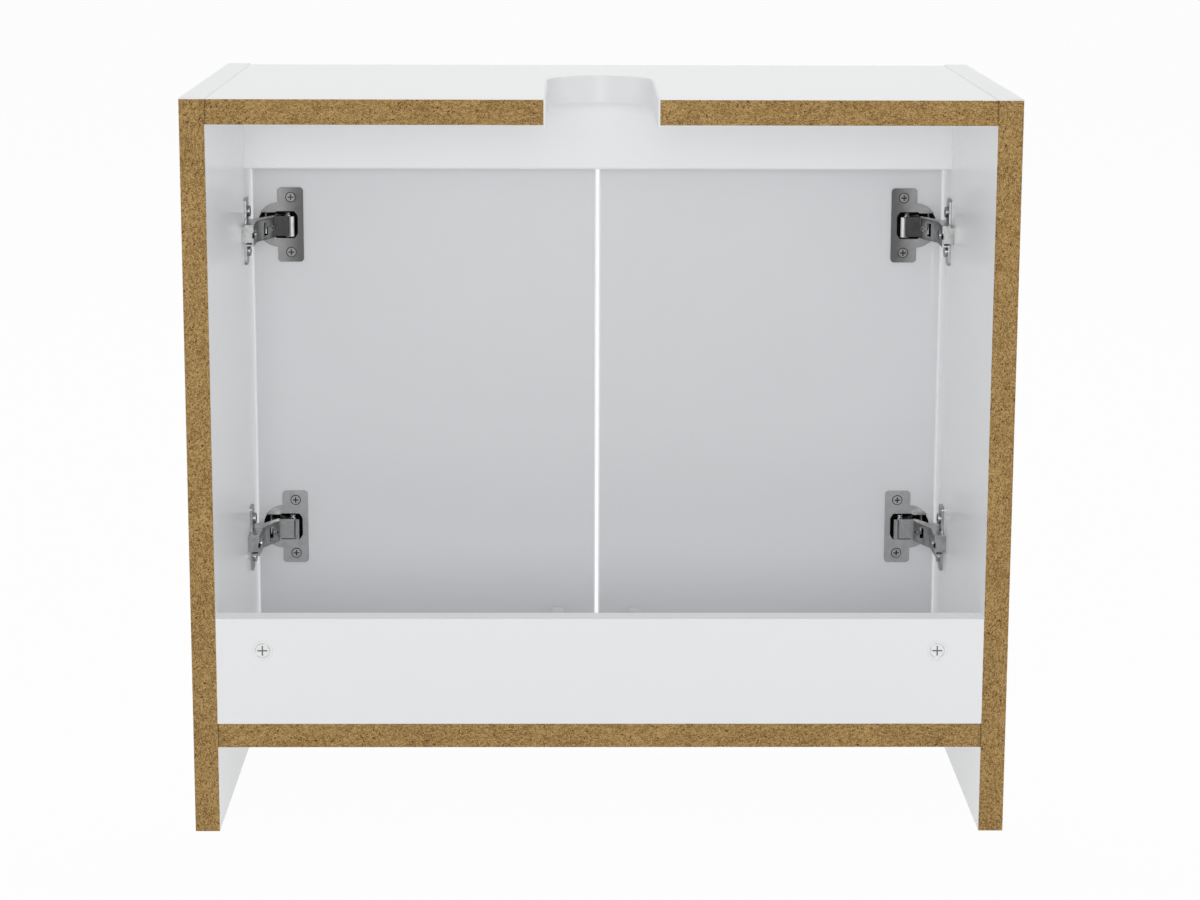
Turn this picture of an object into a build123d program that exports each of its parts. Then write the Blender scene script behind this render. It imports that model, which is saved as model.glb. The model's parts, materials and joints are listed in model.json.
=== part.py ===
from build123d import *
import os
from math import atan2, degrees, radians, tan

# Two-door base cabinet for a washbasin, with an open back. Sizes are in millimetres.
# +X is the right-hand side seen from the front, the doors face -Y and +Z is up.
# The origin is at the middle of the base.

os.makedirs("parts", exist_ok=True)

# Carcass
cabinet_width = 600.0
cabinet_depth = 300.0
cabinet_height = 545.0
board = 18.0                  # faced chipboard
edge_band = 1.0               # strip on the edges that show from the front and above
foot_height = 65.0            # floor to the underside of the bottom panel
front_rail_height = 60.0
front_rail_setback = 42.0     # cabinet's front to the rail's front face
back_rail_height = 80.0

# Cut-out in the top panel for the basin's waste, open to the back
cutout_width = 80.0
cutout_depth = 200.0
cutout_strip = 1.5            # thickness of the strip that lines it
cutout_strip_drop = 3.0       # how far the strip hangs below the panel

# Doors
door_thickness = 18.0
door_recess = 4.0
door_side_gap = 2.0
door_centre_gap = 3.0
door_bottom_gap = 2.0
finger_gap = 31.0             # over the doors, to pull them open
stop_width = 9.5
stop_height = 12.0
stop_depth = 8.0
stop_centre = 32.0            # from the cabinet's middle
stop_rounding = 1.5

# Joint fittings
dowel_radius = 4.0
dowel_length = 30.0
dowel_in_side = 12.0
dowel_chamfer = 1.0
hole_play = 0.05              # round whatever fills its hole
end_play = 0.5                # past the end of whatever fills its hole
cam_radius = 7.4
cam_depth = 13.0
cam_bore_play = 0.1
cam_from_end = 34.0           # cam's centre to the end of its board
cam_slot_radius = 3.8         # cross hole for the bolt's head
bolt_radius = 3.0
bolt_head_radius = 3.5
bolt_head_length = 5.0
bolt_in_side = 11.0
bolt_bore_radius = 4.0
cam_from_edge = 70.0          # cam's centre to the panel's front or back edge
dowel_from_cam = 32.0
rail_cam_from_top = 24.0
rail_fitting_spacing = 32.0
recess_bar = 1.0              # width of one bar of a cross recess
recess_depth = 1.2

# Hinges. Each is laid out in its own frame, with u from the side's inner face towards the
# cabinet's middle, v from the doors' inner face towards the back, and z up from its centre.
hinge_from_door_end = 79.0
link_pin_arm = (21.2, -9.0)   # outer link's pin in the arm
link_pin_cup = (30.6, 0.5)    # outer link's pin in the cup
inner_pin_arm = (26.2, -8.4)  # inner link's pin in the arm
inner_pin_cup = (11.6, -7.9)  # inner link's pin in the cup, in the link's open fork
pin_radius = 1.2
pin_play = 0.08
pin_wall = 0.9                # metal round a pin's hole
barrel_radius = 2.3           # outer link's barrel on its pin in the cup
layer_gap = 0.2               # between sheets that turn past each other
part_gap = 0.3                # between parts that move past each other

cup_u = 23.5
cup_radius = 17.4
cup_wall = 0.9
cup_depth = 12.8
cup_floor = 0.6
cup_lug = 1.3                 # thickness of the lugs that hold the pins
cup_bore_play = 0.1
cup_flange_radius = 18.2
cup_plate = 1.2               # thickness of the flange and the wings
cup_plate_near = 22.2         # u of the wings' near edge
cup_plate_far = 43.1
cup_plate_height = 60.8
cup_corner = 3.0
cup_mouth_corner = 1.5
cup_mouth_step = 20.3         # u where the mouth gets higher
cup_mouth_far = 38.5
cup_mouth_half = 11.0         # half the mouth's height beyond the step
cup_near_drop = 1.5           # the mouth's near rim is cut down by this for the arm
cup_screw_u = 33.0
cup_screw_spacing = 45.0
cup_screw_head = 3.6          # radius
cup_screw_groove = 0.65       # round the head
cup_screw_recess = 4.8        # length of the bars of its cross recess
cup_screw_radius = 1.75
cup_screw_length = 12.0

sheet = 1.4                   # steel of the arm
link_sheet = 1.1              # steel of the outer link's cheeks
arm_half = 8.5                # half the arm's height where it is widest
nose_half = 6.8
nose_radius = 2.3
arm_height = 9.7              # arm's face above the side panel
arm_back = 66.0
arm_skirt = 3.0               # u of the cheeks' free edge
skirt_front = 32.8            # v where that edge turns towards the nose
crank_back = 40.0             # v where the crank's slope leaves the arm's face
crank_front = 16.8            # v where it meets the nose plate
nose_plate_near = 20.4        # u of the flat plate between the crank and the arm's rolled end
roll_u = 34.4
roll_radius = 2.1
crank_slit_u = 15.4           # slit through the crank's slope
crank_slit_width = 2.6
crank_slit_half = 5.4
crank_screw_u = 18.6          # screw on the crank's slope, between the slit and the plate
crank_screw_head = 2.3
crank_screw_radius = 1.2
crank_screw_length = 3.0
riser_near = 23.4
riser_far = 27.2
riser_web_low = -5.0
door_clear_v = 8.5            # arm's cheeks stay behind the open door's edge
nose_top_v = -2.5             # where the nose's cheeks narrow into the riser
fork_half = 1.9               # half the fork's slot
fork_wall = 0.5
fork_reach = 14.8             # from the inner link's pin in the arm to the fork's tip
fork_root = 10.4
fork_rise = 0.32              # how much nearer the back the fork's tip is than that pin
inner_link_half = 3.6         # half the inner link's height
inner_link_radius = 1.5

plate_half = 26.7             # half the mounting plate's height
plate_thickness = 2.0
plate_front = 29.0
plate_back = 45.0
plate_corner = 3.0
plate_body_front = 14.0
plate_body_back = 62.0
plate_body_half = 6.4
plate_screw_v = 37.0
plate_screw_spacing = 32.0
plate_screw_head = 4.5
plate_screw_head_height = 2.4
plate_screw_length = 12.0
screw_radius = 2.5
clamp_screw_v = 56.0
clamp_head = 3.6
clamp_head_height = 1.6
adjust_screw_v = 46.0
adjust_screw_stand = 1.2      # above the arm's face
arm_screw_radius = 2.0
arm_screw_bite = 5.0          # into the mounting plate's body

# Places that follow from the sizes
inner = cabinet_width / 2 - board
front = -cabinet_depth / 2
back = cabinet_depth / 2
floor_top = foot_height + board
top_upper = cabinet_height - edge_band
top_under = top_upper - board
door_front = front + door_recess
door_back = door_front + door_thickness
door_low = floor_top + door_bottom_gap
door_high = top_under - finger_gap
rail_front = front + front_rail_setback
rail_low = top_under - front_rail_height
back_rail_top = floor_top + back_rail_height
cutout_centre_y = back - cutout_depth + cutout_width / 2
door_inner_edge = -door_centre_gap / 2
hinge_heights = (door_low + hinge_from_door_end, door_high - hinge_from_door_end)
plate_screw_offsets = (-plate_screw_spacing / 2, plate_screw_spacing / 2)
cup_screw_offsets = (-cup_screw_spacing / 2, cup_screw_spacing / 2)
web_inner = arm_height - sheet
crank_angle = degrees(atan2(nose_plate_near - arm_height, crank_back - crank_front))
cheek_inner = nose_half + layer_gap
cheek_outer = cheek_inner + link_sheet
pin_hole = pin_radius + pin_play
eye_radius = pin_hole + pin_wall
cavity_half = cheek_outer + 2 * part_gap
pin_half_length = cavity_half + cup_lug


def block(x0, x1, y0, y1, z0, z1):
    """A box between two corners."""
    return Pos((x0 + x1) / 2, (y0 + y1) / 2, (z0 + z1) / 2) * Box(x1 - x0, y1 - y0, z1 - z0)


def rod_x(x0, x1, y, z, radius):
    """A round bar along X."""
    return Pos((x0 + x1) / 2, y, z) * Rot(0, 90, 0) * Cylinder(radius, x1 - x0)


def rod_y(x, y0, y1, z, radius):
    """A round bar along Y."""
    return Pos(x, (y0 + y1) / 2, z) * Rot(90, 0, 0) * Cylinder(radius, y1 - y0)


def rod_z(x, y, z0, z1, radius):
    """A round bar along Z."""
    return Pos(x, y, (z0 + z1) / 2) * Cylinder(radius, z1 - z0)


def mirrored(shape):
    """The same shape on the other side of the cabinet's middle plane."""
    return mirror(shape, about=Plane.YZ)


def save(name, *solids):
    """One node, as one file of separate solids."""
    shape = solids[0] if len(solids) == 1 else Compound(children=list(solids))
    export_step(shape, f"parts/{name}.step")


# Where the fittings sit in the joints between the boards and a side, as (y, z).
fitting_rows = (front + cam_from_edge, back - cam_from_edge)
dowel_rows = (fitting_rows[0] + dowel_from_cam, fitting_rows[1] - dowel_from_cam)
bottom_middle = foot_height + board / 2
top_middle = top_under + board / 2
rail_middle = rail_low + front_rail_height / 2
rail_cam_z = back_rail_top - rail_cam_from_top
bottom_cams = [(y, bottom_middle) for y in fitting_rows]
bottom_dowels = [(y, bottom_middle) for y in dowel_rows]
top_cams = [(y, top_middle) for y in fitting_rows]
top_dowels = [(y, top_middle) for y in dowel_rows]
front_rail_dowels = [
    (rail_front + board / 2, rail_middle - rail_fitting_spacing / 2),
    (rail_front + board / 2, rail_middle + rail_fitting_spacing / 2),
]
back_rail_cams = [(back - board / 2, rail_cam_z)]
back_rail_dowels = [(back - board / 2, rail_cam_z - rail_fitting_spacing)]
all_cams = bottom_cams + top_cams + back_rail_cams
all_dowels = bottom_dowels + top_dowels + front_rail_dowels + back_rail_dowels
cam_x = inner - cam_from_end


def cam_body(y, z, radius, depth, opens):
    """A round body along a cam's axis, from the board's face inwards. It opens down or back."""
    if opens == "back":
        return rod_y(cam_x, back - depth, back, z, radius)
    face = z - board / 2
    return rod_z(cam_x, y, face, face + depth, radius)


def cross_recess(size, depth=recess_depth):
    """Two crossed bars, pointing down from z = 0, to cut a screwdriver's recess."""
    bar = block(-size / 2, size / 2, -recess_bar / 2, recess_bar / 2, -depth, end_play)
    return bar + Rot(0, 0, 90) * bar


def drill_end(piece, dowels, cams, opens="down"):
    """The holes for dowels, bolts and cams at both ends of a board."""
    for y, z in dowels:
        depth = dowel_length - dowel_in_side + end_play
        hole = rod_x(inner - depth, inner, y, z, dowel_radius + hole_play)
        piece = piece - hole - mirrored(hole)
    for y, z in cams:
        hole = rod_x(cam_x, inner, y, z, bolt_bore_radius)
        hole = hole + cam_body(y, z, cam_radius + cam_bore_play, cam_depth + end_play, opens)
        piece = piece - hole - mirrored(hole)
    return piece


def drill_side(piece):
    """The holes in the left side for dowels, cam bolts and the hinge plates' screws."""
    for y, z in all_dowels:
        depth = dowel_in_side + end_play
        piece = piece - rod_x(-inner - depth, -inner, y, z, dowel_radius + hole_play)
    for y, z in all_cams:
        depth = bolt_in_side + end_play
        piece = piece - rod_x(-inner - depth, -inner, y, z, bolt_radius + hole_play)
    for height in hinge_heights:
        for offset in plate_screw_offsets:
            y = door_back + plate_screw_v
            depth = plate_screw_length + end_play
            piece = piece - rod_x(-inner - depth, -inner, y, height + offset, screw_radius + hole_play)
    return piece


def cutout(width, z0, z1, y1):
    """A U-shaped body of the cut-out's outline, as far back as y1."""
    straight = block(-width / 2, width / 2, cutout_centre_y, y1, z0, z1)
    return straight + rod_z(0, cutout_centre_y, z0, z1, width / 2)


def make_carcass():
    side = block(-cabinet_width / 2, -inner, front + edge_band, back, 0, top_upper)
    side = drill_side(side)
    save("left_side_panel", side)
    save("right_side_panel", mirrored(side))
    side_front_band = block(-cabinet_width / 2, -inner, front, front + edge_band, 0, top_upper)
    side_top_band = block(-cabinet_width / 2, -inner, front, back, top_upper, cabinet_height)
    save("left_side_edge_bands", side_front_band, side_top_band)
    save("right_side_edge_bands", mirrored(side_front_band), mirrored(side_top_band))

    bottom = block(-inner, inner, front + edge_band, back, foot_height, floor_top)
    save("bottom_panel", drill_end(bottom, bottom_dowels, bottom_cams))
    save("bottom_edge_band", block(-inner, inner, front, front + edge_band, foot_height, floor_top))

    lining_width = cutout_width + 2 * cutout_strip
    top = block(-inner, inner, front + edge_band, back, top_under, top_upper)
    top = top - cutout(lining_width, top_under, top_upper, back)
    save("top_panel", drill_end(top, top_dowels, top_cams))
    save("top_edge_band", block(-inner, inner, front, front + edge_band, top_under, top_upper))
    strip_low = top_under - cutout_strip_drop
    strip = cutout(lining_width, strip_low, top_upper, back)
    save("cutout_edge_strip", strip - cutout(cutout_width, strip_low, top_upper, back))

    rail_back = rail_front + board
    rail = block(-inner, inner, rail_front, rail_back, rail_low + edge_band, top_under)
    save("front_top_rail", drill_end(rail, front_rail_dowels, []))
    band = block(-inner, inner, rail_front, rail_back, rail_low, rail_low + edge_band)
    save("front_rail_edge_band", band)

    rail = block(-inner, inner, back - board, back, floor_top, back_rail_top - edge_band)
    save("lower_back_rail", drill_end(rail, back_rail_dowels, back_rail_cams, "back"))
    band = block(-inner, inner, back - board, back, back_rail_top - edge_band, back_rail_top)
    save("back_rail_edge_band", band)

    stop = block(-stop_centre - stop_width / 2, -stop_centre + stop_width / 2,
                 door_back, door_back + stop_depth, floor_top, floor_top + stop_height)
    upper_edges = stop.edges().group_by(Axis.Z)[-1]
    stop = fillet(upper_edges.sort_by(Axis.Y)[1:], stop_rounding)
    save("left_door_stop", stop)
    save("right_door_stop", mirrored(stop))


def make_dowel(y, z):
    dowel = rod_x(inner + dowel_in_side - dowel_length, inner + dowel_in_side, y, z, dowel_radius)
    return chamfer(dowel.edges().filter_by(GeomType.CIRCLE), dowel_chamfer)


def make_cam(y, z, opens):
    """A cam lock with its cross hole for the bolt's head and a cross recess in its face."""
    cam = cam_body(y, z, cam_radius, cam_depth, opens)
    cam = cam - rod_x(cam_x - bolt_head_length, cam_x + cam_radius, y, z, cam_slot_radius)
    recess = cross_recess(cam_radius)
    if opens == "back":
        return cam - Pos(cam_x, back, z) * Rot(-90, 0, 0) * recess
    return cam - Pos(cam_x, y, z - board / 2) * Rot(180, 0, 0) * recess


def make_bolt(y, z):
    head_start = cam_x - bolt_head_length / 2
    shank = rod_x(head_start, inner + bolt_in_side, y, z, bolt_radius)
    return shank + rod_x(head_start, head_start + bolt_head_length, y, z, bolt_head_radius)


def make_fittings():
    dowels = [make_dowel(y, z) for y, z in all_dowels]
    save("wood_dowels", *dowels, *[mirrored(dowel) for dowel in dowels])
    cams = [make_cam(y, z, "down") for y, z in bottom_cams + top_cams]
    cams += [make_cam(y, z, "back") for y, z in back_rail_cams]
    save("cam_locks", *cams, *[mirrored(cam) for cam in cams])
    bolts = [make_bolt(y, z) for y, z in all_cams]
    save("cam_bolts", *bolts, *[mirrored(bolt) for bolt in bolts])


# Hinge pieces, in the hinge's own frame
def prism(face, z0, z1):
    """A flat face given thickness from z0 to z1."""
    return extrude(Pos(0, 0, z0) * face, amount=z1 - z0, dir=(0, 0, 1))


def both_cheeks(face, z0, z1):
    """The same sheet above and below the hinge's middle."""
    upper = prism(face, z0, z1)
    return upper + mirror(upper, about=Plane.XY)


def capsule(a, b, radius):
    """The outline round two points."""
    middle = ((a[0] + b[0]) / 2, (a[1] + b[1]) / 2)
    span = Vector(b[0] - a[0], b[1] - a[1], 0)
    angle = Vector(1, 0, 0).get_signed_angle(span, Vector(0, 0, 1))
    return Pos(*middle) * Rot(0, 0, angle) * SlotCenterToCenter(span.length, 2 * radius)


def disc(centre, radius):
    return Pos(*centre) * Circle(radius)


def outline(*points):
    return make_face(Polyline(*points, close=True))


def pin_bore(centre, half_length, radius=pin_hole):
    return rod_z(centre[0], centre[1], -half_length, half_length, radius)


def make_cup():
    """The cup that is let into the door, with its two wings and the lugs of its pins."""
    body = rod_y(cup_u, -cup_depth, cup_plate, 0, cup_radius)
    flange = rod_y(cup_u, 0, cup_plate, 0, cup_flange_radius)
    wings = block(cup_plate_near, cup_plate_far, 0, cup_plate, -cup_plate_height / 2, cup_plate_height / 2)
    wings = fillet(wings.edges().filter_by(Axis.Y), cup_corner)
    mouth = block(cup_mouth_step, cup_mouth_far, -cup_depth, cup_plate, -cup_mouth_half, cup_mouth_half)
    mouth = fillet(mouth.edges().filter_by(Axis.Y), cup_mouth_corner)
    mouth = mouth + block(0, cup_u, -cup_depth, cup_plate, -pin_half_length, pin_half_length)
    cavity_floor = cup_floor - cup_depth
    hollow = rod_y(cup_u, cavity_floor, cup_plate, 0, cup_radius - cup_wall) & mouth
    near_cut = block(0, cup_mouth_step, -cup_near_drop, cup_plate, -pin_half_length, pin_half_length)
    cup = body + flange + wings - hollow - near_cut
    for pin in (link_pin_cup, inner_pin_cup):
        foot = Pos(pin[0], (pin[1] + cavity_floor) / 2) * Rectangle(2 * eye_radius, pin[1] - cavity_floor)
        cup = cup + both_cheeks(foot + disc(pin, eye_radius), cavity_half, pin_half_length)
        cup = cup - pin_bore(pin, pin_half_length)
    for z in cup_screw_offsets:
        seat = rod_y(cup_screw_u, cup_plate / 2, cup_plate, z, cup_screw_head + cup_screw_groove)
        cup = cup - seat - rod_y(cup_screw_u, 0, cup_plate, z, cup_screw_radius + hole_play)
    return cup


def make_cup_pins():
    length = pin_half_length - hole_play
    return [pin_bore(link_pin_cup, length, pin_radius), pin_bore(inner_pin_cup, length, pin_radius)]


def make_cup_screws():
    screws = []
    face = cup_plate + part_gap
    recess = cross_recess(cup_screw_recess, cup_plate / 2)
    for z in cup_screw_offsets:
        shank = rod_y(cup_screw_u, -cup_screw_length, cup_plate, z, cup_screw_radius)
        head = rod_y(cup_screw_u, cup_plate / 2, face, z, cup_screw_head)
        screws.append(shank + head - Pos(cup_screw_u, face, z) * Rot(-90, 0, 0) * recess)
    return screws


def make_outer_link():
    """Two cheeks joined by the round barrel on the cup's pin."""
    link = both_cheeks(capsule(link_pin_arm, link_pin_cup, eye_radius), cheek_inner, cheek_outer)
    link = link + pin_bore(link_pin_cup, cheek_outer, barrel_radius)
    return link - pin_bore(link_pin_cup, cheek_outer) - pin_bore(link_pin_arm, cheek_outer)


def make_inner_link():
    """An eye on the arm's pin, and a fork that is open to the cup's other pin."""
    body = Pos(-fork_reach / 2, 0) * Rectangle(fork_reach, 2 * inner_link_radius)
    prong = 2 * (fork_half + fork_wall)
    fork_length = fork_reach - fork_root + 2 * fork_wall
    body = body + Pos(-fork_reach + fork_length / 2, 0) * Rectangle(fork_length, prong)
    body = body + Circle(eye_radius)
    slot = Pos(-fork_root - fork_half, 0) * Circle(fork_half)
    slot = slot + Pos(-fork_reach, 0) * Rectangle(2 * (fork_reach - fork_root - fork_half), 2 * fork_half)
    body = body - slot - Circle(pin_hole)
    tilt = Vector(-1, 0, 0).get_signed_angle(Vector(-fork_reach, fork_rise, 0), Vector(0, 0, 1))
    return prism(Pos(*inner_pin_arm) * Rot(0, 0, tilt) * body, -inner_link_half, inner_link_half)


def crank_screw_place():
    """On the crank's slope, with z pointing out of it."""
    along = (crank_screw_u - arm_height) / tan(radians(crank_angle))
    return Pos(crank_screw_u, crank_back - along, 0) * Rot(0, 0, crank_angle) * Rot(0, 90, 0)


def make_arm():
    """A channel over the mounting plate, cranked towards the cup, with two cheeks at its nose."""
    corner = sheet * tan(radians(crank_angle / 2))
    plate_top = door_clear_v + sheet
    side_view = outline((arm_skirt, arm_back), (arm_height, arm_back), (arm_height, crank_back),
                        (nose_plate_near, crank_front), (nose_plate_near, plate_top),
                        (roll_u, plate_top), (roll_u, door_clear_v),
                        (nose_plate_near - sheet, door_clear_v), (arm_skirt, skirt_front))
    void = outline((web_inner, arm_back), (web_inner, crank_back - corner),
                   (nose_plate_near - sheet, crank_front - corner), (nose_plate_near - sheet, door_clear_v),
                   (0, door_clear_v), (0, arm_back))
    channel = prism(side_view, -arm_half, arm_half) - prism(void, sheet - arm_half, arm_half - sheet)
    nose = outline((riser_near, door_clear_v), (riser_far, door_clear_v),
                   (riser_far, inner_pin_arm[1]),
                   (link_pin_arm[0] - nose_radius / 2, link_pin_arm[1] + nose_radius),
                   (riser_near, nose_top_v))
    nose = nose + capsule(link_pin_arm, inner_pin_arm, nose_radius)
    cheeks = both_cheeks(nose, nose_half - sheet, nose_half)
    riser = block(riser_far - sheet, riser_far, riser_web_low, door_clear_v, -nose_half, nose_half)
    roll = rod_z(roll_u, door_clear_v + roll_radius, -cheek_outer, cheek_outer, roll_radius)
    beside_roll = block(nose_plate_near, roll_u + roll_radius,
                        door_clear_v, plate_top, cheek_outer, arm_half)
    arm = channel - beside_roll - mirror(beside_roll, about=Plane.XY) + cheeks + riser + roll
    arm = arm - pin_bore(link_pin_arm, nose_half) - pin_bore(inner_pin_arm, nose_half)
    slot_radius = arm_screw_radius + 2 * pin_play
    slot = rod_x(web_inner, arm_height, clamp_screw_v, 0, slot_radius)
    slot = slot + block(web_inner, arm_height, clamp_screw_v, arm_back, -slot_radius, slot_radius)
    slit_near = crank_slit_u - crank_slit_width / 2
    slit_far = crank_slit_u + crank_slit_width / 2
    slot = slot + block(slit_near, slit_far, crank_front - sheet, crank_back,
                        -crank_slit_half, crank_slit_half)
    slot = slot + crank_screw_place() * Cylinder(crank_screw_radius + hole_play, 2 * crank_screw_length)
    return arm - slot - rod_x(web_inner, arm_height, adjust_screw_v, 0, screw_radius + hole_play)


def make_arm_pins():
    """A short rivet in each cheek for the outer link, and one long pin for the inner link."""
    stub = rod_z(*link_pin_arm, nose_half - sheet, cheek_outer, pin_radius)
    return [stub, mirror(stub, about=Plane.XY), pin_bore(inner_pin_arm, nose_half, pin_radius)]


def make_arm_screws():
    """The clamp screw, the screw that sets the door sideways and the one on the crank."""
    recess = Rot(0, 90, 0) * cross_recess(2 * clamp_head - 2 * recess_bar)
    clamp = rod_x(web_inner - arm_screw_bite, arm_height, clamp_screw_v, 0, arm_screw_radius)
    clamp = clamp + rod_x(arm_height, arm_height + clamp_head_height, clamp_screw_v, 0, clamp_head)
    clamp = clamp - Pos(arm_height + clamp_head_height, clamp_screw_v, 0) * recess
    adjuster_face = arm_height + adjust_screw_stand
    adjuster = rod_x(web_inner - arm_screw_bite, adjuster_face, adjust_screw_v, 0, screw_radius)
    recess = Rot(0, 90, 0) * cross_recess(2 * screw_radius - recess_bar)
    adjuster = adjuster - Pos(adjuster_face, adjust_screw_v, 0) * recess
    crank_screw = Pos(0, 0, -crank_screw_length / 2) * Cylinder(crank_screw_radius, crank_screw_length)
    crank_screw = crank_screw + Pos(0, 0, sheet / 2) * Cylinder(crank_screw_head, sheet)
    crank_screw = crank_screw - Pos(0, 0, sheet) * cross_recess(crank_screw_head)
    return [clamp, adjuster, crank_screw_place() * crank_screw]


def make_mounting_plate():
    wings = block(0, plate_thickness, plate_front, plate_back, -plate_half, plate_half)
    wings = fillet(wings.edges().filter_by(Axis.X), plate_corner)
    body = block(0, web_inner, plate_body_front, plate_body_back, -plate_body_half, plate_body_half)
    body = chamfer(body.edges().filter_by(Axis.Z).sort_by(Axis.Y)[:2].sort_by(Axis.X)[-1], web_inner / 2)
    plate = wings + body
    bottom = web_inner - arm_screw_bite - end_play
    plate = plate - rod_x(bottom, web_inner, clamp_screw_v, 0, arm_screw_radius + hole_play)
    plate = plate - rod_x(bottom, web_inner, adjust_screw_v, 0, screw_radius + hole_play)
    for z in plate_screw_offsets:
        plate = plate - rod_x(0, plate_thickness, plate_screw_v, z, screw_radius + hole_play)
    return plate


def make_plate_screws():
    screws = []
    for z in plate_screw_offsets:
        face = plate_thickness + plate_screw_head_height
        screw = rod_x(-plate_screw_length, plate_thickness, plate_screw_v, z, screw_radius)
        head = rod_x(plate_thickness, face, plate_screw_v, z, plate_screw_head)
        rim = head.edges().filter_by(GeomType.CIRCLE).sort_by(Axis.X)[-1]
        head = fillet(rim, plate_screw_head_height / 3)
        recess = Pos(face, plate_screw_v, z) * Rot(0, 90, 0) * cross_recess(plate_screw_head)
        screws.append(screw + head - recess)
    return screws


def place(shape, side, height):
    """A hinge piece set on the left or the right side panel at a height."""
    placed = Pos(-inner, door_back, height) * shape
    return placed if side == "left" else mirrored(placed)


def at_heights(shapes, side):
    """The same pieces in the lower and the upper hinge of one side."""
    return [place(shape, side, height) for height in hinge_heights for shape in shapes]


def make_door(side):
    """A door panel with the bores for its two cups, and the bands round its edges."""
    near = -inner + door_side_gap
    far = door_inner_edge
    low = door_low + edge_band
    high = door_high - edge_band
    panel = block(near + edge_band, far - edge_band, door_front, door_back, low, high)
    bores = []
    for z in cup_screw_offsets:
        bores.append(rod_y(cup_screw_u, -cup_screw_length - end_play, 0, z, cup_screw_radius + hole_play))
    bores.append(rod_y(cup_u, -cup_depth - part_gap, 0, 0, cup_radius + cup_bore_play))
    for height in hinge_heights:
        for bore in bores:
            panel = panel - place(bore, "left", height)
    bands = [
        block(near, near + edge_band, door_front, door_back, door_low, door_high),
        block(far - edge_band, far, door_front, door_back, door_low, door_high),
        block(near + edge_band, far - edge_band, door_front, door_back, door_low, low),
        block(near + edge_band, far - edge_band, door_front, door_back, high, door_high),
    ]
    if side == "right":
        panel = mirrored(panel)
        bands = [mirrored(band) for band in bands]
    save(f"{side}_door_panel", panel)
    save(f"{side}_door_edge_bands", *bands)


def make_hinges():
    single = {
        "hinge_cup": make_cup(),
        "outer_link": make_outer_link(),
        "inner_link": make_inner_link(),
        "hinge_arm": make_arm(),
        "mounting_plate": make_mounting_plate(),
    }
    for side in ("left", "right"):
        for level, height in zip(("lower", "upper"), hinge_heights):
            for name, shape in single.items():
                save(f"{side}_{level}_{name}", place(shape, side, height))
    on_door = {
        "cup_pins": make_cup_pins(),
        "cup_screws": make_cup_screws(),
    }
    on_sides = {
        "arm_pins": make_arm_pins(),
        "arm_screws": make_arm_screws(),
        "plate_screws": make_plate_screws(),
    }
    for name, shapes in on_door.items():
        save(f"left_{name}", *at_heights(shapes, "left"))
        save(f"right_{name}", *at_heights(shapes, "right"))
    for name, shapes in on_sides.items():
        save(name, *at_heights(shapes, "left"), *at_heights(shapes, "right"))


make_carcass()
make_fittings()
make_door("left")
make_door("right")
make_hinges()
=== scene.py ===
import json
from math import radians

import bpy
from mathutils import Matrix, Vector

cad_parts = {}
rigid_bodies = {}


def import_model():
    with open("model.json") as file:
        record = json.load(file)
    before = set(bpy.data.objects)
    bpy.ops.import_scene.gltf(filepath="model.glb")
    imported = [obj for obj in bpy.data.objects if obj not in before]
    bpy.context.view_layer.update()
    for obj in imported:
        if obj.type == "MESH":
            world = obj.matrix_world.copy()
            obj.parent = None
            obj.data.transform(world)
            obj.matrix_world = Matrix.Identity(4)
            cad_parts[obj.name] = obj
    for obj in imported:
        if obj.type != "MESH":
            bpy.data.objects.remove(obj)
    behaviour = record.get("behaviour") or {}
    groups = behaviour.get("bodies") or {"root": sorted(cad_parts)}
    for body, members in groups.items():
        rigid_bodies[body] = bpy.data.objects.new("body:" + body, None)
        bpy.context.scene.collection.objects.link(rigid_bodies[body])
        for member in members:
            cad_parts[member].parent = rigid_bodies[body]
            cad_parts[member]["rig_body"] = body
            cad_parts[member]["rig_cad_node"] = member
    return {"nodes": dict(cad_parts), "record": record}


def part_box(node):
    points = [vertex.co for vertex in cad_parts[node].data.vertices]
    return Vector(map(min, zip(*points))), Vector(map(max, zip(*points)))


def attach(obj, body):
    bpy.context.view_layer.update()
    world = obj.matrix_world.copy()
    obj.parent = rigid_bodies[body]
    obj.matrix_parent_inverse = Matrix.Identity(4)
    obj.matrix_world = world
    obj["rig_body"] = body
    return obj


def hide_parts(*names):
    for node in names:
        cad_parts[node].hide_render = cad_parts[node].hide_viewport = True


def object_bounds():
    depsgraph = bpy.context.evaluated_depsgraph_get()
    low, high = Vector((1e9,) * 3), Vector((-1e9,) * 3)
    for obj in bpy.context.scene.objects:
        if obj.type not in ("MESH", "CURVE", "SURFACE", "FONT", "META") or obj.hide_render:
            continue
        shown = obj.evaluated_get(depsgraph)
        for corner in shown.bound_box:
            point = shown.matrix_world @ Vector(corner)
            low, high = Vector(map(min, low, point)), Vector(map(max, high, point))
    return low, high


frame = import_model()
nodes = frame["nodes"]
record = frame["record"]
bodyOfNode = {node: body for body, members in record["behaviour"]["bodies"].items() for node in members}
slotOfNode = {part["node"]: part["material_slot"] for part in record["subparts"]}
cadLow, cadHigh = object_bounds()
mm = 0.001
print("frame loaded with", len(nodes), "parts")

# Places on the cabinet that the finishes and the rounding need, read from the frame
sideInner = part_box("right_side_panel")[0].x
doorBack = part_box("right_door_edge_bands")[1].y
cabinetBack = cadHigh.y
hair = 0.02 * mm


def shade(red, green, blue):
    # a screen colour, 0 to 255, as the linear colour that a shader takes
    shares = [level / 255 for level in (red, green, blue)]
    linear = [share / 12.92 if share < 0.04045 else ((share + 0.055) / 1.055) ** 2.4 for share in shares]
    return (*linear, 1.0)


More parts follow.
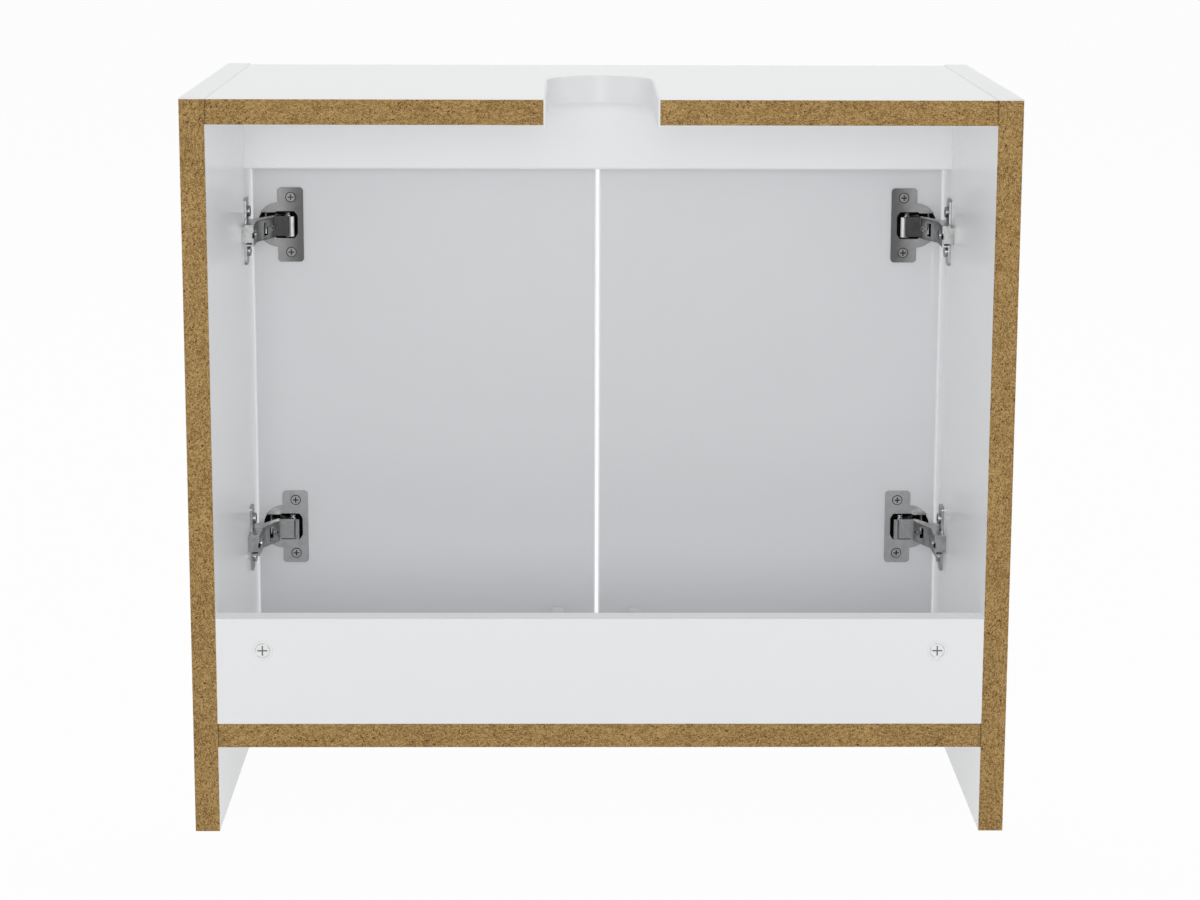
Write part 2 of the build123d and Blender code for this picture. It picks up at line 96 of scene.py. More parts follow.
class Wire:
    # the output of a shader node, on which plain arithmetic can be written
    def __init__(self, network, socket):
        self.network = network
        self.socket = socket

    def reckon(self, operation, first, second=0.0):
        return self.network.node("ShaderNodeMath", {"operation": operation}, {0: first, 1: second})

    def __add__(self, other):
        return self.reckon("ADD", self, other)

    def __sub__(self, other):
        return self.reckon("SUBTRACT", self, other)

    def __rsub__(self, other):
        return self.reckon("SUBTRACT", other, self)

    def __mul__(self, other):
        return self.reckon("MULTIPLY", self, other)

    def __truediv__(self, other):
        return self.reckon("DIVIDE", self, other)

    def __pow__(self, other):
        return self.reckon("POWER", self, other)

    def __abs__(self):
        return self.reckon("ABSOLUTE", self)

    def larger(self, other):
        return self.reckon("MAXIMUM", self, other)

    __radd__ = __add__
    __rmul__ = __mul__


class Network:
    # the shader nodes of a material or of the world
    def __init__(self, owner):
        owner.use_nodes = True
        self.tree = owner.node_tree

    def node(self, kind, settings, inputs, output=0):
        node = self.tree.nodes.new(kind)
        for name, value in settings.items():
            setattr(node, name, value)
        for name, value in inputs.items():
            self.feed(node.inputs[name], value)
        return Wire(self, node.outputs[output])

    def feed(self, socket, value):
        if isinstance(value, Wire):
            self.tree.links.new(value.socket, socket)
        else:
            socket.default_value = value

    def seenDirectly(self):
        # 1 for what the camera sees straight, in a mirror or through glass
        rays = ("Is Camera Ray", "Is Glossy Ray", "Is Transmission Ray")
        straight, mirrored, through = [self.node("ShaderNodeLightPath", {}, {}, ray) for ray in rays]
        return straight.larger(mirrored).larger(through)

    def mixShaders(self, share, first, second, output):
        mixed = self.node("ShaderNodeMixShader", {}, {0: share, 1: Wire(self, first.outputs[0]), 2: second})
        self.feed(self.tree.nodes[output].inputs["Surface"], mixed)


class Finish(Network):
    # a material that is being made
    def __init__(self, name, constants):
        self.material = bpy.data.materials.new(name)
        super().__init__(self.material)
        self.surface = self.tree.nodes["Principled BSDF"]
        for socket, value in constants.items():
            self.surface.inputs[socket].default_value = value
        self.place = self.node("ShaderNodeTexCoord", {}, {}, "Object")

    def stretched(self, x, y, z):
        return self.node("ShaderNodeMapping", {}, {"Vector": self.place, "Scale": (x, y, z)})

    def noise(self, scale, detail=3.0, rough=0.55, place=None):
        inputs = {"Vector": place or self.place, "Scale": scale, "Detail": detail, "Roughness": rough}
        return self.node("ShaderNodeTexNoise", {}, inputs)

    def cells(self, scale, place):
        return self.node("ShaderNodeTexVoronoi", {}, {"Vector": place, "Scale": scale}, "Color")

    def between(self, value, low, high):
        # 0 below low, 1 above high, smooth in between
        inputs = {"Value": value, "From Min": low, "From Max": high}
        return self.node("ShaderNodeMapRange", {"interpolation_type": "SMOOTHSTEP"}, inputs)

    def blend(self, share, first, second):
        return self.node("ShaderNodeMix", {"data_type": "RGBA"}, {0: share, 6: first, 7: second}, 2)

    def part(self, vector, axis):
        return self.node("ShaderNodeSeparateXYZ", {}, {0: vector}, axis)

    def rough(self, value):
        self.feed(self.surface.inputs["Roughness"], value)

    def colour(self, value):
        self.feed(self.surface.inputs["Base Color"], value)

    def relief(self, height, depth, strength):
        bump = self.node("ShaderNodeBump", {}, {"Height": height, "Distance": depth, "Strength": strength})
        self.feed(self.surface.inputs["Normal"], bump)


# White boards and tapes. The scales are noise scales: the larger, the finer.
whites = {
    "whiteMelamine": {
        "light": shade(243, 244, 245),
        "dark": shade(242, 243, 244),
        "cloud": 9.0,
        "peel": 1500.0,
        "peelDepth": 0.002 * mm,
        "roughness": 0.24,
        "roughnessSpread": 0.006,
        "sheen": 0.42,
    },
    # painted shade: a greyer copy of the white melamine, for the doors' inner faces
    "doorBackShadedMelamine": {
        "light": shade(224, 225, 227),
        "dark": shade(221, 222, 224),
        "cloud": 7.0,
        "peel": 1500.0,
        "peelDepth": 0.002 * mm,
        "roughness": 0.28,
        "roughnessSpread": 0.02,
        "sheen": 0.42,
    },
    "whiteEdgeTape": {
        "light": shade(244, 245, 246),
        "dark": shade(241, 242, 244),
        "cloud": 30.0,
        "peel": 900.0,
        "peelDepth": 0.01 * mm,
        "roughness": 0.3,
        "roughnessSpread": 0.02,
        "sheen": 0.5,
    },
    "cutoutTape": {
        "light": shade(233, 234, 236),
        "dark": shade(230, 231, 233),
        "cloud": 30.0,
        "peel": 900.0,
        "peelDepth": 0.01 * mm,
        "roughness": 0.32,
        "roughnessSpread": 0.02,
        "sheen": 0.5,
    },
}
handling = {"finerThanClouds": 14, "share": (0.35, 0.7), "peelDetail": 2.0, "peelStrength": 0.35}


def makeWhite(name):
    # faint clouds in the white, the fine peel of the press plate and slightly uneven gloss
    settings = whites[name]
    finish = Finish(name, {"Specular IOR Level": settings["sheen"]})
    finish.colour(finish.blend(finish.noise(settings["cloud"]), settings["dark"], settings["light"]))
    marks = finish.noise(settings["cloud"] * handling["finerThanClouds"])
    gloss = finish.between(marks, *handling["share"])
    finish.rough(gloss * settings["roughnessSpread"] + settings["roughness"])
    peel = finish.noise(settings["peel"], handling["peelDetail"])
    finish.relief(peel, settings["peelDepth"], handling["peelStrength"])
    return finish.material


chipboard = {
    "roughness": 0.85,
    "sheen": 0.25,
    "stretch": {"upright": (1.0, 1.0, 0.65), "lying": (0.65, 1.0, 1.0)},
    "cloudScale": 70.0,
    "cloudDetail": 2.0,
    "cloudContrast": 0.2,
    "chipScale": 950.0,
    "chipContrast": 0.3,
    "fibreScale": 1600.0,
    "fibreDetail": 4.0,
    "fibreRoughness": 0.8,
    "fibreContrast": 2.5,
    "deepToMiddle": (0.2, 0.5),
    "middleToPale": (0.5, 0.82),
    "speckScale": 1050.0,
    "speckDetail": 2.0,
    "speckRoughness": 0.6,
    "speckShare": (0.62, 0.7),
    "pitScale": 380.0,
    "pitDetail": 1.0,
    "pitRoughness": 0.5,
    "pitShare": (0.67, 0.71),
    "speckStrength": 0.85,
    "pale": shade(206, 173, 115),
    "middle": shade(165, 132, 80),
    "deep": shade(98, 70, 33),
    "speck": shade(50, 33, 15),
    "reliefDepth": 0.2 * mm,
    "reliefStrength": 0.6,
    "jointWidth": 1.1 * mm,
}


def makeChipboard(name, direction):
    # sawn edge of pressed fine chips: mottled browns, drawn out along the board, dark specks, a few pits
    made = chipboard
    finish = Finish(name, {"Roughness": made["roughness"], "Specular IOR Level": made["sheen"]})
    along = finish.stretched(*made["stretch"][direction])
    chips = finish.part(finish.cells(made["chipScale"], along), 0)
    fibres = finish.noise(made["fibreScale"], made["fibreDetail"], made["fibreRoughness"], along)
    clouds = finish.noise(made["cloudScale"], made["cloudDetail"])
    tone = (chips - 0.5) * made["chipContrast"] + (fibres - 0.5) * made["fibreContrast"]
    tone = tone + (clouds - 0.5) * made["cloudContrast"] + 0.5
    base = finish.blend(finish.between(tone, *made["deepToMiddle"]), made["deep"], made["middle"])
    base = finish.blend(finish.between(tone, *made["middleToPale"]), base, made["pale"])
    specks = finish.noise(made["speckScale"], made["speckDetail"], made["speckRoughness"], along)
    pits = finish.noise(made["pitScale"], made["pitDetail"], made["pitRoughness"])
    holes = finish.between(specks, *made["speckShare"]).larger(finish.between(pits, *made["pitShare"]))
    dark = holes
    if direction == "lying":
        # the dark line where the board's end meets a side panel
        fromMiddle = abs(finish.part(finish.place, 0))
        dark = dark.larger(finish.between(fromMiddle, sideInner - made["jointWidth"], sideInner))
    finish.colour(finish.blend(dark * made["speckStrength"], base, made["speck"]))
    finish.relief(fibres - holes, made["reliefDepth"], made["reliefStrength"])
    return finish.material


# Plated steel: its light and dark grey, and the stretch of its rolling lines. Some entries are painted
# light
# and shade: the upper and lower hinges' wings, arm plates and wing screws are shaded and lit copies of one
# steel, and the upper wings carry a painted reflection that turns from light to dark across the hinge,
# between these distances in millimetres from the cabinet's middle. The recess and cavity greys are painted
# shade.
metals = {
    "nickel": {"light": 176, "dark": 148, "roughness": 0.3, "grain": (1.0, 1.0, 0.04)},
    # painted light and shade: the upper and lower wings are shaded and lit copies of one steel
    "upperWingsShadedCopy": {
        "light": 130, "dark": 84, "roughness": 0.3, "grain": (1.0, 1.0, 0.04), "across": (239, 262),
    },
    "lowerWingsLitCopy": {"light": 174, "dark": 162, "roughness": 0.32, "grain": (1.0, 1.0, 0.04)},
    # painted reflection: shaded and lit copies of one steel for the arms' plate faces on the upper and
    # lower hinges
    "armPlateShadedCopy": {"light": 66, "dark": 58, "roughness": 0.24, "grain": (0.3, 1.0, 1.0)},
    "armPlateLitCopy": {"light": 168, "dark": 156, "roughness": 0.28, "grain": (0.3, 1.0, 1.0)},
    "bright": {"light": 226, "dark": 204, "roughness": 0.14, "grain": (1.0, 1.0, 0.1)},
    "screw": {"light": 176, "dark": 146, "roughness": 0.26, "grain": (1.0, 1.0, 1.0)},
    # painted light and shade: shaded and lit copies of one screw steel, for the upper and lower cups
    "upperWingScrewShadedCopy": {"light": 126, "dark": 112, "roughness": 0.3, "grain": (1.0, 1.0, 1.0)},
    "lowerWingScrewLitCopy": {"light": 178, "dark": 164, "roughness": 0.3, "grain": (1.0, 1.0, 1.0)},
    # painted shade: near black for screw recesses and the gaps round screws
    "recess": {"light": 58, "dark": 40, "roughness": 0.45, "grain": (1.0, 1.0, 1.0)},
    # painted shade: the cups' hollows, near black
    "cavityPaintedShade": {"light": 22, "dark": 10, "roughness": 0.5, "grain": (1.0, 1.0, 1.0)},
}
plating = {
    "lineScale": 2600.0,
    "lineDetail": 2.0,
    "lineRoughness": 0.5,
    "lineGloss": 0.12,
    "stainScale": 160.0,
    "stainShare": (0.4, 0.72),
    "stainTone": 0.15,
    "stainGloss": 0.06,
    "reliefDepth": 0.008 * mm,
    "reliefStrength": 0.4,
}


def makeMetal(name):
    # faint rolling lines, a little stain and uneven gloss
    settings = metals[name]
    light = shade(*[settings["light"]] * 3)
    dark = shade(*[settings["dark"]] * 3)
    finish = Finish(name + "Steel", {"Metallic": 1.0})
    grain = finish.stretched(*settings["grain"])
    lines = finish.noise(plating["lineScale"], plating["lineDetail"], plating["lineRoughness"], grain)
    stain = finish.between(finish.noise(plating["stainScale"]), *plating["stainShare"])
    tone = 1 - stain
    # painted reflection: the upper wings turn from light to dark across the hinge
    if "across" in settings:
        near, far = settings["across"]
        fromMiddle = abs(finish.part(finish.place, 0))
        tone = finish.between(fromMiddle, near * mm, far * mm) - stain * plating["stainTone"]
    finish.colour(finish.blend(tone, dark, light))
    unevenness = (lines - 0.5) * plating["lineGloss"] + stain * plating["stainGloss"]
    finish.rough(unevenness + settings["roughness"])
    finish.relief(lines, plating["reliefDepth"], plating["reliefStrength"])
    return finish.material


beech = {
    "roughness": 0.6,
    "light": shade(214, 182, 138),
    "dark": shade(186, 150, 104),
    "ray": shade(150, 112, 70),
    "grain": {"scale": 700.0, "detail": 4.0, "rough": 0.6},
    "grainStretch": (0.06, 1.0, 1.0),
    "rays": {"scale": 1500.0, "detail": 2.0, "rough": 0.5},
    "rayStretch": (0.3, 1.0, 1.0),
    "rayShare": (0.6, 0.7),
    "rayStrength": 0.5,
    "reliefDepth": 0.05 * mm,
    "reliefStrength": 0.5,
}


def makeWood():
    # plain beech for the dowels: lines along their length and short darker rays
    finish = Finish("beech", {"Roughness": beech["roughness"]})
    grain = finish.noise(**beech["grain"], place=finish.stretched(*beech["grainStretch"]))
    rays = finish.noise(**beech["rays"], place=finish.stretched(*beech["rayStretch"]))
    base = finish.blend(grain, beech["light"], beech["dark"])
    share = finish.between(rays, *beech["rayShare"]) * beech["rayStrength"]
    finish.colour(finish.blend(share, base, beech["ray"]))
    finish.relief(grain, beech["reliefDepth"], beech["reliefStrength"])
    return finish.material


plastics = {
    "stopPlastic": {"light": shade(226, 227, 228), "dark": shade(218, 219, 221), "roughness": 0.4},
    # painted shade: grey for the cam locks' cross recesses
    "camCrossPaintedShade": {"light": shade(138, 139, 140), "dark": shade(120, 121, 122), "roughness": 0.5},
}
moulding = {
    "sheen": 0.45,
    "flowScale": 60.0,
    "grainScale": 2200.0,
    "grainDetail": 2.0,
    "grainGloss": 0.12,
    "reliefDepth": 0.015 * mm,
    "reliefStrength": 0.4,
}


def makePlastic(name):
    # moulded plastic: faint flow lines and a fine spark-eroded grain
    settings = plastics[name]
    finish = Finish(name, {"Specular IOR Level": moulding["sheen"]})
    finish.colour(finish.blend(finish.noise(moulding["flowScale"]), settings["dark"], settings["light"]))
    grain = finish.noise(moulding["grainScale"], moulding["grainDetail"])
    finish.rough(grain * moulding["grainGloss"] + settings["roughness"])
    finish.relief(grain, moulding["reliefDepth"], moulding["reliefStrength"])
    return finish.material


# The cam locks' white faces. Places and widths are in millimetres.
camCap = {
    "across": 248.0,
    "up": 139.0,
    # the ring is painted shade of a groove round the cross; noise breaks it into patches
    "ring": 5.3,
    "ringFade": (0.72, 0.27),
    "ringStrength": 0.55,
    "ringPatchScale": 260.0,
    "ringPatchShare": (0.35, 0.6),
    "white": shade(243, 244, 245),
    "cast": shade(238, 239, 240),
    "castScale": 90.0,
    "grey": shade(176, 177, 178),
    "roughness": 0.32,
    "sheen": 0.42,
    "reliefScale": 1800.0,
    "reliefDepth": 0.004 * mm,
    "reliefStrength": 0.3,
}


def makeCamCap():
    # white face of a cam lock with a faint grey ring round its cross: painted shade of a groove, broken
    # into patches by noise
    finish = Finish("camCap", {"Roughness": camCap["roughness"], "Specular IOR Level": camCap["sheen"]})
    across = abs(finish.part(finish.place, 0)) / mm - camCap["across"]
    up = finish.part(finish.place, 2) / mm - camCap["up"]
    fromRing = abs((across * across + up * up) ** 0.5 - camCap["ring"])
    ring = finish.between(fromRing, *camCap["ringFade"])
    # painted shade: noise that breaks the ring into patches
    ringPatches = finish.between(finish.noise(camCap["ringPatchScale"]), *camCap["ringPatchShare"])
    white = finish.blend(finish.noise(camCap["castScale"]), camCap["cast"], camCap["white"])
    finish.colour(finish.blend(ring * ringPatches * camCap["ringStrength"], white, camCap["grey"]))
    finish.relief(finish.noise(camCap["reliefScale"]), camCap["reliefDepth"], camCap["reliefStrength"])
    return finish.material


whiteFinish = {name: makeWhite(name) for name in whites}
chipboardFinish = {
    "upright": makeChipboard("rawChipboardUpright", "upright"),
    "lying": makeChipboard("rawChipboardLying", "lying"),
}
metalFinish = {name: makeMetal(name) for name in metals}
plasticFinish = {name: makePlastic(name) for name in plastics}
finishOfSlot = {
    "white_board": whiteFinish["whiteMelamine"],
    "white_edge_band": whiteFinish["whiteEdgeTape"],
    "cutout_strip": whiteFinish["cutoutTape"],
    "door_stop": plasticFinish["stopPlastic"],
    "dowel_wood": makeWood(),
    "cam_metal": makeCamCap(),
    "bolt_steel": metalFinish["screw"],
    "hinge_nickel": metalFinish["nickel"],
    "hinge_link": metalFinish["bright"],
    "pin_steel": metalFinish["bright"],
    "screw_steel": metalFinish["screw"],
}
for name, node in nodes.items():
    node.data.materials.clear()
    node.data.materials.append(finishOfSlot[slotOfNode[name]])
print("finishes made:", len(bpy.data.materials))

meshWork = {
    "merged": 0.001 * mm,
    "flat": radians(0.5),
    "smooth": radians(40),
}


def pick(piece):
    bpy.ops.object.select_all(action="DESELECT")
    piece.select_set(True)
    bpy.context.view_layer.objects.active = piece


def editMode(on):
    bpy.ops.object.mode_set(mode="EDIT" if on else "OBJECT")


def workingCopy(nodeName):
    # a copy of a CAD part with its loose triangles merged into clean faces
    pick(nodes[nodeName])
    bpy.ops.object.duplicate()
    piece = bpy.context.active_object
    piece.name = nodeName + "_finished"
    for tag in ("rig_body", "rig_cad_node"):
        if tag in piece:
            del piece[tag]
    editMode(True)
    bpy.ops.mesh.select_mode(type="EDGE")
    bpy.ops.mesh.select_all(action="SELECT")
    bpy.ops.mesh.remove_doubles(threshold=meshWork["merged"])
    bpy.ops.mesh.dissolve_limited(angle_limit=meshWork["flat"])
    editMode(False)
    return piece


def selectEdges(piece, wanted):
    mesh = piece.data
    for part in (mesh.vertices, mesh.edges, mesh.polygons):
        part.foreach_set("select", [False] * len(part))
    for edge in mesh.edges:
        ends = [mesh.vertices[index].co for index in edge.vertices]
        edge.select = wanted(*ends)


def roundEdges(piece, wanted, radius, steps):
    selectEdges(piece, wanted)
    editMode(True)
    bpy.ops.mesh.bevel(offset=radius, segments=steps, affect="EDGES", clamp_overlap=True)
    editMode(False)


def dress(piece, nodeName):
    pick(piece)
    bpy.ops.object.shade_smooth_by_angle(angle=meshWork["smooth"])
    bpy.ops.object.modifier_add(type="WEIGHTED_NORMAL")
    piece.modifiers[-1].keep_sharp = True
    bpy.ops.object.modifier_apply(modifier=piece.modifiers[-1].name)
    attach(piece, bodyOfNode[nodeName])
    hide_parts(nodeName)


def sharedExtremes(low, high, first, second):
    # the outer faces, each an axis and True for its high side, on which both ends of an edge lie
    shared = set()
    for axis in range(3):
        for corner in (low, high):
            if abs(first[axis] - corner[axis]) < hair and abs(second[axis] - corner[axis]) < hair:
                shared.add((axis, corner is high))
    return shared


# Boards: a hair of rounding on every outer edge. The back edges of some are raw, and the sides' feet too.
boards = {
    "radius": 0.22 * mm,
    "steps": 2,
    "rawBacks": ("left_side_panel", "right_side_panel", "bottom_panel", "top_panel"),
    "others": ("front_top_rail", "lower_back_rail", "left_door_panel", "right_door_panel"),
    "facingBack": 0.1,
    "facingDown": -0.9,
}


def finishBoard(nodeName):
    piece = workingCopy(nodeName)
    low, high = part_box(nodeName)
    isSide = nodeName.endswith("side_panel")

    def outer(first, second):
        return len(sharedExtremes(low, high, first, second)) > 1

    roundEdges(piece, outer, boards["radius"], boards["steps"])
    if nodeName.endswith("door_panel"):
        # the inner face gets a greyer copy of the white melamine: painted shade for the less light that
        # reaches it inside the cabinet
        piece.data.materials.append(whiteFinish["doorBackShadedMelamine"])
        for face in piece.data.polygons:
            face.material_index = int(face.center.y > doorBack - boards["radius"])
    if nodeName in boards["rawBacks"]:
        piece.data.materials.append(chipboardFinish["upright" if isSide else "lying"])
        for face in piece.data.polygons:
            atBack = face.normal.y > boards["facingBack"] and face.center.y > cabinetBack - boards["radius"]
            atFoot = isSide and face.normal.z < boards["facingDown"] and face.center.z < hair
            if atBack or atFoot:
                face.material_index = 1
    dress(piece, nodeName)


for nodeName in boards["rawBacks"] + boards["others"]:
    finishBoard(nodeName)
print("boards finished")

# Edge bands, each with its outward sides. Axis 0 is x, 1 is y and 2 is z, True is the high side.
# The band that is named first on a part runs past the ends of the next ones.
bands = {
    "thickness": 1.0 * mm,
    "radius": 0.6 * mm,
    "steps": 3,
    "outward": {
        "left_side_edge_bands": [(2, True), (1, False)],
        "right_side_edge_bands": [(2, True), (1, False)],
        "bottom_edge_band": [(1, False)],
        "top_edge_band": [(1, False)],
        "front_rail_edge_band": [(2, False)],
        "back_rail_edge_band": [(2, True)],
        "left_door_edge_bands": [(0, False), (0, True), (2, False), (2, True)],
        "right_door_edge_bands": [(0, False), (0, True), (2, False), (2, True)],
    },
}


def bandStrip(low, high, outer):
    bpy.ops.mesh.primitive_cube_add(size=1, location=(low + high) / 2, scale=high - low)
    bpy.ops.object.transform_apply(location=True, rotation=True, scale=True)
    strip = bpy.context.active_object
    roundEdges(strip, outer, bands["radius"], bands["steps"])
    return strip


def finishBands(nodeName, outward):
    low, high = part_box(nodeName)
    roomLow, roomHigh = Vector(low), Vector(high)

    def outer(first, second):
        shared = sharedExtremes(low, high, first, second)
        return len(shared) > 1 and not shared.isdisjoint(outward)

    strips = []
    for axis, isHigh in outward:
        stripLow, stripHigh = roomLow.copy(), roomHigh.copy()
        if isHigh:
            roomHigh[axis] -= bands["thickness"]
            stripLow[axis] = roomHigh[axis]
        else:
            roomLow[axis] += bands["thickness"]
            stripHigh[axis] = roomLow[axis]
        strips.append(bandStrip(stripLow, stripHigh, outer))
    pick(strips[0])
    for strip in strips[1:]:
        strip.select_set(True)
    if len(strips) > 1:
        bpy.ops.object.join()
    piece = bpy.context.active_object
    piece.name = nodeName + "_finished"
    piece.data.materials.clear()
    piece.data.materials.append(whiteFinish["whiteEdgeTape"])
    dress(piece, nodeName)


for nodeName, outward in bands["outward"].items():
    finishBands(nodeName, outward)
print("edge bands finished")


# Hinges. Places are in millimetres: from the side's inner face, from the door's back and from the
# hinge's middle. A screw's recess, painted dark as shade, lies within its radius and under its height along
# its axis.
hinges = {
    "rounding": 0.16 * mm,
    "steps": 2,
    "sharp": radians(35),
    "plateFrom": 20.9,
    "rollFrom": 32.2,
    "plateUnder": 8.2,
    "cavityUnder": -0.05,
    "recesses": {
        "cupScrews": {"at": (33.0, 0.0, 22.5), "axis": (0.0, 1.0, 0.0), "radius": 4.6, "under": 1.4},
        "cupSeats": {"at": (33.0, 0.0, 22.5), "axis": (0.0, 1.0, 0.0), "radius": 4.35, "under": 1.15},
        "plateScrews": {"at": (0.0, 37.0, 16.0), "axis": (1.0, 0.0, 0.0), "radius": 2.4, "under": 4.3},
        "clampScrews": {"at": (0.0, 56.0, 0.0), "axis": (1.0, 0.0, 0.0), "radius": 2.5, "under": 11.2},
        "adjusters": {"at": (0.0, 46.0, 0.0), "axis": (1.0, 0.0, 0.0), "radius": 2.0, "under": 10.8},
        "crankScrews": {"at": (18.6, 20.7, 0.0), "axis": (0.908, 0.419, 0.0), "radius": 1.3, "under": 1.3},
    },
}
hingeLevels = [sum(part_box(f"left_{level}_hinge_cup"), Vector()).z / 2 for level in ("lower", "upper")]


def hingePlace(point):
    level = min(hingeLevels, key=lambda height: abs(point.z - height))
    return Vector((sideInner - abs(point.x), point.y - doorBack, point.z - level)) / mm


def sharpCopy(nodeName):
    # a working copy whose sharp edges are broken
    piece = workingCopy(nodeName)
    pick(piece)
    editMode(True)
    bpy.ops.mesh.select_all(action="DESELECT")
    bpy.ops.mesh.edges_select_sharp(sharpness=hinges["sharp"])
    bpy.ops.mesh.bevel(
        offset=hinges["rounding"], segments=hinges["steps"], affect="EDGES", clamp_overlap=True)
    editMode(False)
    return piece


def darken(piece, recessName, slot):
    # painted shade in a screw's recess and the gap round it, wherever such a screw sits in a hinge
    recess = hinges["recesses"][recessName]
    axis = Vector(recess["axis"])
    for face in piece.data.polygons:
        place = hingePlace(face.center)
        place.z = abs(place.z)
        offset = place - Vector(recess["at"])
        along = offset.dot(axis)
        if along < recess["under"] and (offset - axis * along).length < recess["radius"]:
            face.material_index = slot


def finishArm(nodeName):
    piece = sharpCopy(nodeName)
    isUpper = "upper" in nodeName
    # painted reflection: the upper arms' plate faces take a dark copy and their roll a painted highlight,
    # the lower arms' a pale copy
    piece.data.materials.append(metalFinish["armPlateShadedCopy" if isUpper else "armPlateLitCopy"])
    piece.data.materials.append(metalFinish["bright" if isUpper else "armPlateLitCopy"])
    for face in piece.data.polygons:
        place = hingePlace(face.center)
        if place.x > hinges["plateFrom"] and place.y > hinges["plateUnder"]:
            face.material_index = 2 if place.x > hinges["rollFrom"] else 1
    dress(piece, nodeName)


def finishCup(nodeName):
    piece = sharpCopy(nodeName)
    # painted light and shade: upper cups take the shaded copy of the wing steel, lower cups the lit one
    piece.data.materials[0] = metalFinish["upperWingsShadedCopy" if "upper" in nodeName else "lowerWingsLitCopy"]
    piece.data.materials.append(metalFinish["cavityPaintedShade"])
    piece.data.materials.append(metalFinish["recess"])
    # painted shade: the faces of the cup's hollow, below the door's back, go near black
    for face in piece.data.polygons:
        if hingePlace(face.center).y < hinges["cavityUnder"]:
            face.material_index = 1
    darken(piece, "cupSeats", 2)
    dress(piece, nodeName)


def finishPlain(nodeName):
    dress(sharpCopy(nodeName), nodeName)


def finishScrews(nodeName, recessNames, upperMetal="screw", lowerMetal="screw"):
    piece = sharpCopy(nodeName)
    # the upper and lower hinges' screws can take shaded and lit copies of one steel, painted to match their
    # wings
    piece.data.materials[0] = metalFinish[upperMetal]
    piece.data.materials.append(metalFinish[lowerMetal])
    piece.data.materials.append(metalFinish["recess"])
    middle = sum(hingeLevels) / 2
    for face in piece.data.polygons:
        if face.center.z < middle:
            face.material_index = 1
    for recessName in recessNames:
        darken(piece, recessName, 2)
    dress(piece, nodeName)


for side in ("left", "right"):
    for level in ("lower", "upper"):
        finishArm(f"{side}_{level}_hinge_arm")
        finishCup(f"{side}_{level}_hinge_cup")
        for part in ("outer_link", "inner_link", "mounting_plate"):
            finishPlain(f"{side}_{level}_{part}")
    finishScrews(f"{side}_cup_screws", ["cupScrews"], "upperWingScrewShadedCopy", "lowerWingScrewLitCopy")
finishScrews("plate_screws", ["plateScrews"])
finishScrews("arm_screws", ["clampScrews", "adjusters", "crankScrews"])
finishPlain("cutout_edge_strip")
print("hinges and screws finished")

# Cam locks: the cross, painted grey as shade, lies within this radius and between these depths from the
# cabinet's back
cams = {"radius": 3.9 * mm, "shallow": 0.08 * mm, "deep": 2.0 * mm}


def finishCams(nodeName):
    piece = sharpCopy(nodeName)
    piece.data.materials.append(plasticFinish["camCrossPaintedShade"])
    for face in piece.data.polygons:
        across = abs(face.center.x) - camCap["across"] * mm
        up = face.center.z - camCap["up"] * mm
        depth = cabinetBack - face.center.y
        if Vector((across, up)).length < cams["radius"] and cams["shallow"] < depth < cams["deep"]:
            face.material_index = 1
    dress(piece, nodeName)


finishCams("cam_locks")
print("cam locks finished")

# The camera stands behind the cabinet and above it, where the photograph was taken
camera = {
    "spot": (0.0234, 2.1622, 0.7344),
    "down": radians(10.517),
    "turn": radians(179.358),
    "roll": radians(0.176),
    "lens": 85.2,
    "shift": -0.08,
}


def placeCamera():
    data = bpy.data.cameras.new("camera")
    data.lens = camera["lens"]
    data.shift_y = camera["shift"]
    holder = bpy.data.objects.new("camera", data)
    bpy.context.scene.collection.objects.link(holder)
    turned = Matrix.Rotation(camera["turn"], 4, "Z")
    tilted = Matrix.Rotation(radians(90) - camera["down"], 4, "X")
    rolled = Matrix.Rotation(camera["roll"], 4, "Z")
    holder.matrix_world = Matrix.Translation(camera["spot"]) @ turned @ tilted @ rolled
    bpy.context.scene.camera = holder


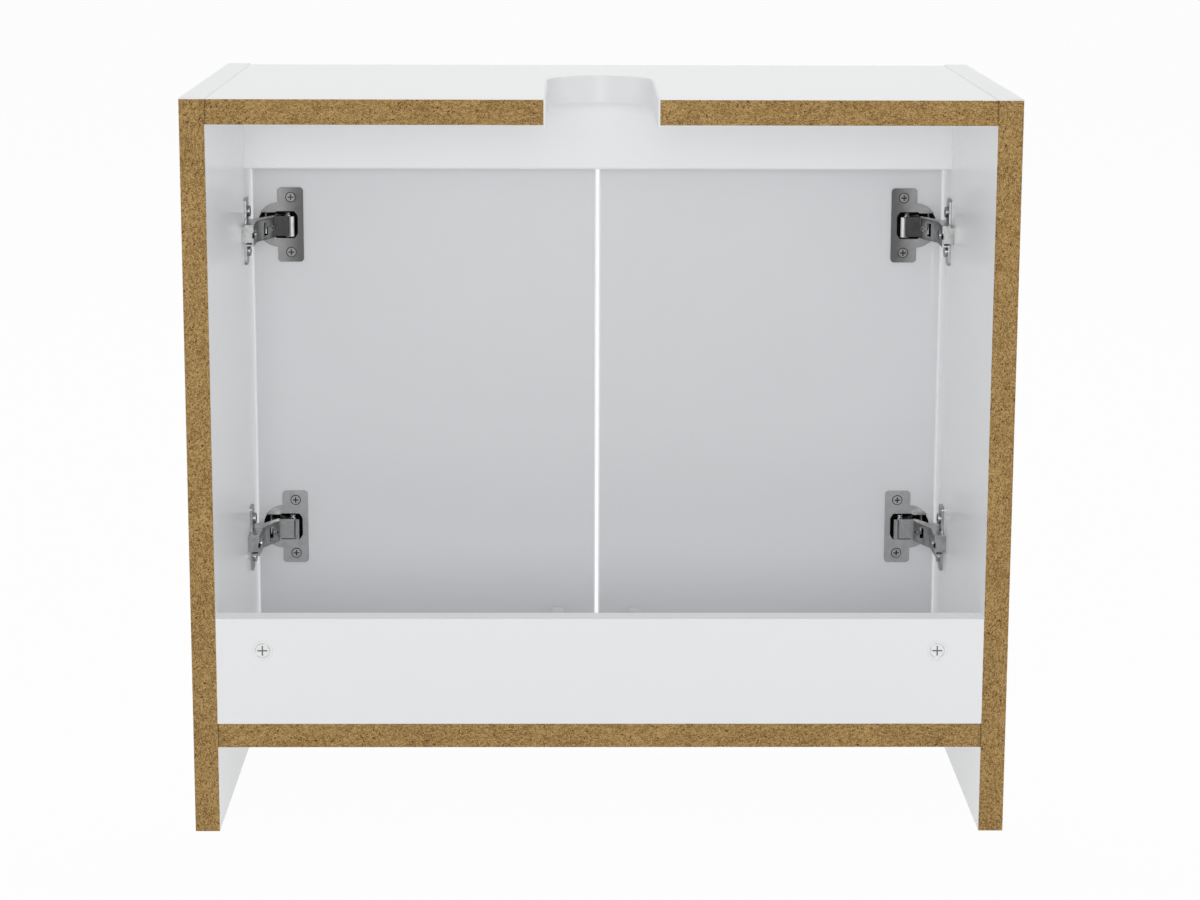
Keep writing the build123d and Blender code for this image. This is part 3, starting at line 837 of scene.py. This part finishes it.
studio = {
    "white": (1.0, 1.0, 1.0, 1.0),
    "ambient": 0.56,
    "floorSize": 40.0,
    "floorColour": (0.9, 0.9, 0.9, 1.0),
    "floorRoughness": 0.9,
    "floorShadow": 0.045,
    "aim": (0.0, 0.0, 0.3),
    "lamps": {
        "openSideSoftbox": {"spot": (0.1, 4.0, 0.95), "size": 1.2, "power": 35.0, "shadow": True},
        "doorSideSoftbox": {"spot": (0.0, -2.4, 3.0), "size": 1.7, "power": 19.0, "shadow": True},
        "leftFill": {"spot": (3.2, 0.5, 1.3), "size": 1.5, "power": 15.5, "shadow": False},
        "rightFill": {"spot": (-3.2, 0.5, 1.3), "size": 1.5, "power": 17.0, "shadow": False},
    },
}


def layFloor():
    # almost as white as the background, with a trace of the cabinet's shadow
    bpy.ops.object.select_all(action="DESELECT")
    bpy.ops.mesh.primitive_plane_add(size=studio["floorSize"], location=(0, 0, 0))
    floor = bpy.context.active_object
    floor.name = "floor"
    colour, roughness = studio["floorColour"], studio["floorRoughness"]
    finish = Finish("paleFloor", {"Base Color": colour, "Roughness": roughness, "Specular IOR Level": 0.0})
    glow = finish.node("ShaderNodeEmission", {}, {"Color": studio["white"], "Strength": 1.0})
    share = finish.seenDirectly() * (1 - studio["floorShadow"])
    finish.mixShaders(share, finish.surface, glow, "Material Output")
    floor.data.materials.append(finish.material)


def lightStudio():
    world = bpy.data.worlds.new("studio")
    bpy.context.scene.world = world
    sky = Network(world)
    ambient = sky.tree.nodes["Background"]
    sky.feed(ambient.inputs["Color"], studio["white"])
    sky.feed(ambient.inputs["Strength"], studio["ambient"])
    backdrop = sky.node("ShaderNodeBackground", {}, {"Color": studio["white"]})
    sky.mixShaders(sky.seenDirectly(), ambient, backdrop, "World Output")
    for name, settings in studio["lamps"].items():
        data = bpy.data.lights.new(name, "AREA")
        data.shape = "DISK"
        data.size = settings["size"]
        data.energy = settings["power"]
        data.use_shadow = settings["shadow"]
        lamp = bpy.data.objects.new(name, data)
        bpy.context.scene.collection.objects.link(lamp)
        lamp.location = settings["spot"]
        towards = Vector(studio["aim"]) - lamp.location
        lamp.rotation_euler = towards.to_track_quat("-Z", "Y").to_euler()


placeCamera()
layFloor()
lightStudio()
bpy.context.scene.view_settings.view_transform = "Standard"
print("camera, floor and lights placed")
